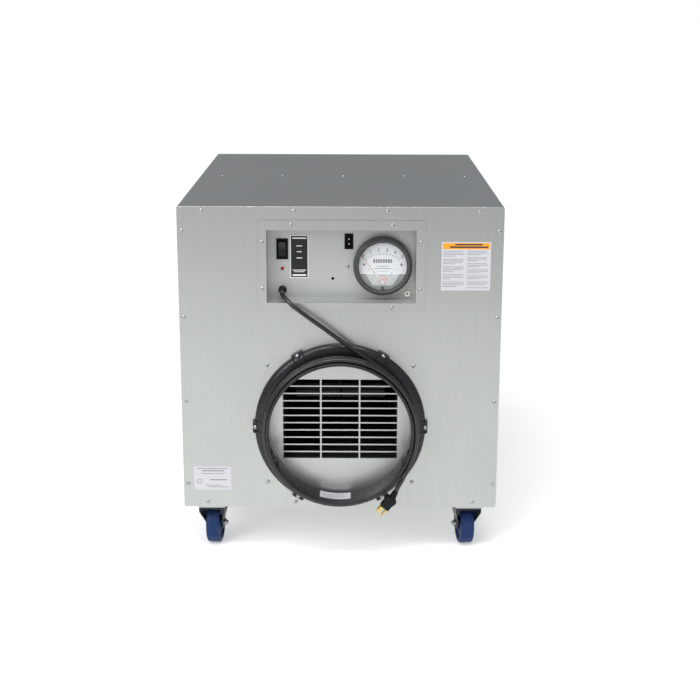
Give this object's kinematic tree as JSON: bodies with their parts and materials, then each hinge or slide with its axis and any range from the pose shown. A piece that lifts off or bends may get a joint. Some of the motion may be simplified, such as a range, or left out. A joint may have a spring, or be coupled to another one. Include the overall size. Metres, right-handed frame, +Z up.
{
  "type": "portable air scrubber",
  "caption": "Portable negative air machine: galvanised box on swivel casters with a recessed gauge and switches, a duct collar, a blower, filters behind, and a coiled mains cord.",
  "frame": {"origin": "on the floor, under the middle of the machine without its cord and plug", "axes": "+Z up; -Y out of the front panel, the way the duct collar points; +X to the right seen from the front"},
  "size_m": [0.66, 0.9922, 0.743],
  "materials": {
    "galvanised_steel": "satin galvanised sheet with a faint spangle and rolling grain",
    "zinc_plate": "bright zinc plating",
    "machined_steel": "turned bright steel",
    "black_steel": "semi-gloss black enamel",
    "black_plastic": "gloss moulded black",
    "black_rubber": "satin black vinyl",
    "red_lens": "translucent red lens",
    "white_plastic": "satin white nylon",
    "prefilter_card": "white die-cut board",
    "gauge_grey": "dark grey hammered enamel",
    "dial_white": "satin white printed aluminium",
    "dial_red": "matt red",
    "clear_lens": "clear acrylic and vinyl",
    "blue_tyre": "dark blue polyurethane, satin",
    "filter_paper": "pleated glass-fibre paper",
    "filter_fibre": "loose polyester fibre mat",
    "particle_board": "raw particle board"
  },
  "bodies": {
    "cabinet": {"cabinet_wrapper": "galvanised_steel", "base_pan": "galvanised_steel", "front_panel": "galvanised_steel", "control_box": "galvanised_steel", "wiring_cover": "galvanised_steel", "motor_bracket": "galvanised_steel", "filter_bulkhead": "galvanised_steel", "rear_frame": "galvanised_steel", "caster_plate_front_left": "zinc_plate", "caster_plate_front_right": "zinc_plate", "caster_plate_rear_left": "zinc_plate", "caster_plate_rear_right": "zinc_plate", "run_capacitor": "machined_steel", "blower_housing": "black_steel", "motor_body": "black_steel", "speed_switch_housing": "black_plastic", "alarm_switch_housing": "black_plastic", "gauge_case": "black_plastic", "speed_label_plate": "black_plastic", "exhaust_collar": "black_plastic", "plug": "black_plastic", "cord_gland": "black_rubber", "hepa_gasket": "black_rubber", "power_cord_lead": "black_rubber", "power_cord_coil": "black_rubber", "power_cord_tail": "black_rubber", "indicator_lamp": "red_lens", "pressure_port": "white_plastic", "prefilter_frame": "prefilter_card", "gauge_bezel": "gauge_grey", "gauge_dial": "dial_white", "gauge_lens": "clear_lens", "port_hose": "clear_lens", "plenum_hose": "clear_lens", "hepa_media": "filter_paper", "prefilter_media": "filter_paper", "primary_filter": "filter_fibre", "hepa_frame": "particle_board"},
    "speed_rocker": {"speed_switch_rocker": "black_plastic"},
    "alarm_rocker": {"alarm_switch_rocker": "black_plastic"},
    "pointer": {"gauge_pointer": "dial_red"},
    "blower_rotor": {"blower_wheel": "black_steel", "motor_shaft": "machined_steel"},
    "swivel_front_left": {"caster_fork_front_left": "black_steel", "caster_axle_front_left": "zinc_plate"},
    "wheel_front_left": {"caster_wheel_front_left": "blue_tyre"},
    "swivel_front_right": {"caster_fork_front_right": "black_steel", "caster_axle_front_right": "zinc_plate"},
    "wheel_front_right": {"caster_wheel_front_right": "blue_tyre"},
    "swivel_rear_left": {"caster_fork_rear_left": "black_steel", "caster_axle_rear_left": "zinc_plate"},
    "wheel_rear_left": {"caster_wheel_rear_left": "blue_tyre"},
    "swivel_rear_right": {"caster_fork_rear_right": "black_steel", "caster_axle_rear_right": "zinc_plate"},
    "wheel_rear_right": {"caster_wheel_rear_right": "blue_tyre"},
    "latch_upper_left": {"filter_latch_upper_left": "zinc_plate"},
    "latch_lower_left": {"filter_latch_lower_left": "zinc_plate"},
    "latch_upper_right": {"filter_latch_upper_right": "zinc_plate"},
    "latch_lower_right": {"filter_latch_lower_right": "zinc_plate"}
  },
  "joints": [
    {"name": "speed_rocker_tilt", "type": "hinge", "parent": "cabinet", "child": "speed_rocker", "pos_m": [-0.12, -0.3795, 0.649], "axis": [1, 0, 0], "range_deg": [-12, 12]},
    {"name": "alarm_rocker_tilt", "type": "hinge", "parent": "cabinet", "child": "alarm_rocker", "pos_m": [0.017, -0.3795, 0.665], "axis": [1, 0, 0], "range_deg": [0, 16]},
    {"name": "gauge_needle", "type": "hinge", "parent": "cabinet", "child": "pointer", "pos_m": [0.0866, -0.3898, 0.5805], "axis": [0, 1, 0], "range_deg": [0, 77], "stiffness_Nm_per_rad": 0.0005},
    {"name": "blower_spin", "type": "hinge", "parent": "cabinet", "child": "blower_rotor", "pos_m": [0, -0.206, 0.39605], "axis": [1, 0, 0], "continuous": true},
    {"name": "caster_swivel_front_left", "type": "hinge", "parent": "cabinet", "child": "swivel_front_left", "pos_m": [-0.273, -0.394, 0], "axis": [0, 0, 1], "continuous": true},
    {"name": "caster_roll_front_left", "type": "hinge", "parent": "swivel_front_left", "child": "wheel_front_left", "pos_m": [-0.27038, -0.36411, 0.0435], "axis": [-0.9962, 0.0872, 0], "continuous": true},
    {"name": "caster_swivel_front_right", "type": "hinge", "parent": "cabinet", "child": "swivel_front_right", "pos_m": [0.273, -0.394, 0], "axis": [0, 0, 1], "continuous": true},
    {"name": "caster_roll_front_right", "type": "hinge", "parent": "swivel_front_right", "child": "wheel_front_right", "pos_m": [0.26934, -0.36422, 0.0435], "axis": [-0.9925, -0.1219, 0], "continuous": true},
    {"name": "caster_swivel_rear_left", "type": "hinge", "parent": "cabinet", "child": "swivel_rear_left", "pos_m": [-0.273, 0.442, 0], "axis": [0, 0, 1], "continuous": true},
    {"name": "caster_roll_rear_left", "type": "hinge", "parent": "swivel_rear_left", "child": "wheel_rear_left", "pos_m": [-0.27924, 0.41266, 0.0435], "axis": [0.9781, -0.2079, 0], "continuous": true},
    {"name": "caster_swivel_rear_right", "type": "hinge", "parent": "cabinet", "child": "swivel_rear_right", "pos_m": [0.273, 0.442, 0], "axis": [0, 0, 1], "continuous": true},
    {"name": "caster_roll_rear_right", "type": "hinge", "parent": "swivel_rear_right", "child": "wheel_rear_right", "pos_m": [0.27769, 0.41237, 0.0435], "axis": [0.9877, 0.1564, 0], "continuous": true},
    {"name": "latch_turn_upper_left", "type": "hinge", "parent": "cabinet", "child": "latch_upper_left", "pos_m": [-0.314, 0.4758, 0.5888], "axis": [0, 1, 0], "range_deg": [0, 90]},
    {"name": "latch_turn_upper_right", "type": "hinge", "parent": "cabinet", "child": "latch_upper_right", "pos_m": [0.314, 0.4758, 0.5888], "axis": [0, 1, 0], "range_deg": [-90, 0]},
    {"name": "latch_turn_lower_left", "type": "hinge", "parent": "cabinet", "child": "latch_lower_left", "pos_m": [-0.314, 0.4758, 0.2288], "axis": [0, 1, 0], "range_deg": [0, 90]},
    {"name": "latch_turn_lower_right", "type": "hinge", "parent": "cabinet", "child": "latch_lower_right", "pos_m": [0.314, 0.4758, 0.2288], "axis": [0, 1, 0], "range_deg": [-90, 0]}
  ]
}
